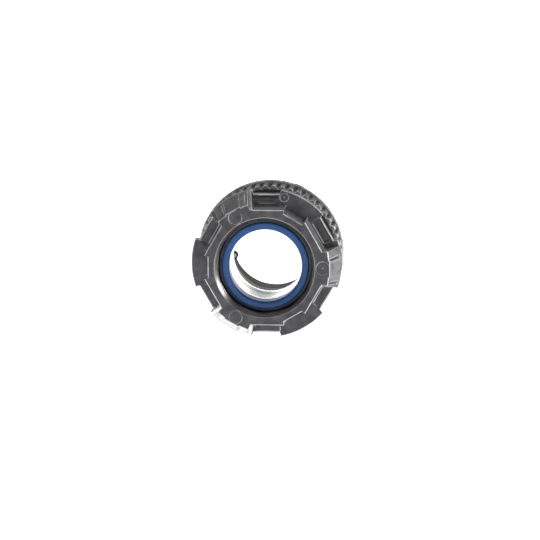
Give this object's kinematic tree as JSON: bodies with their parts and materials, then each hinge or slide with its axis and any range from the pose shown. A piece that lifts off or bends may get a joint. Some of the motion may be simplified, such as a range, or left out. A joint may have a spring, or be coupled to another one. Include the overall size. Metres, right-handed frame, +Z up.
{
  "type": "raintight conduit compression connector",
  "caption": "Die-cast compression connector for thin-wall conduit, with a clawed locknut, a plastic-insulated throat, a knurled compression nut and a split gland ring.",
  "frame": {"origin": "centre of the bore at the conduit stop, where the end of the conduit rests", "axes": "+Y along the bore, out of the conduit mouth; the locknut faces -Y; +Z up as it lies on its side"},
  "size_m": [0.0402, 0.0473, 0.0402],
  "materials": {
    "body_zinc": "die-cast zinc, machined bore",
    "locknut_zinc": "die-cast zinc, as cast",
    "nut_zinc": "die-cast zinc, as cast",
    "blue_nylon": "satin moulded",
    "box_seal_rubber": "matt",
    "conduit_seal_rubber": "matt",
    "ring_steel": "zinc plated",
    "washer_steel": "zinc plated"
  },
  "bodies": {
    "fitting_body": {"connector_body": "body_zinc", "throat_insulator": "blue_nylon"},
    "seal_ring": {"box_seal": "box_seal_rubber"},
    "box_locknut": {"locknut": "locknut_zinc"},
    "gland_stack": {"gland_ring": "ring_steel", "slip_washer": "washer_steel", "conduit_seal": "conduit_seal_rubber"},
    "nut": {"compression_nut": "nut_zinc"}
  },
  "joints": [
    {"name": "locknut_turn", "type": "hinge", "parent": "fitting_body", "child": "seal_ring", "pos_m": [0, -0.0115, 0], "axis": [0, -1, 0], "range_deg": [-370, 1165]},
    {"name": "locknut_travel", "type": "slide", "parent": "seal_ring", "child": "box_locknut", "axis": [0, -1, 0], "range_m": [-0.0019, 0.0059]},
    {"name": "nut_travel", "type": "slide", "parent": "fitting_body", "child": "gland_stack", "axis": [0, 1, 0], "range_m": [-0.0009, 0.0112]},
    {"name": "nut_turn", "type": "hinge", "parent": "gland_stack", "child": "nut", "pos_m": [0, 0.01, 0], "axis": [0, 1, 0], "range_deg": [-203, 2520]}
  ],
  "couplings": [
    {"joint": "locknut_travel", "follows": "locknut_turn", "m_per_rad": 0.00028871},
    {"joint": "nut_travel", "follows": "nut_turn", "m_per_rad": 0.00025266}
  ]
}
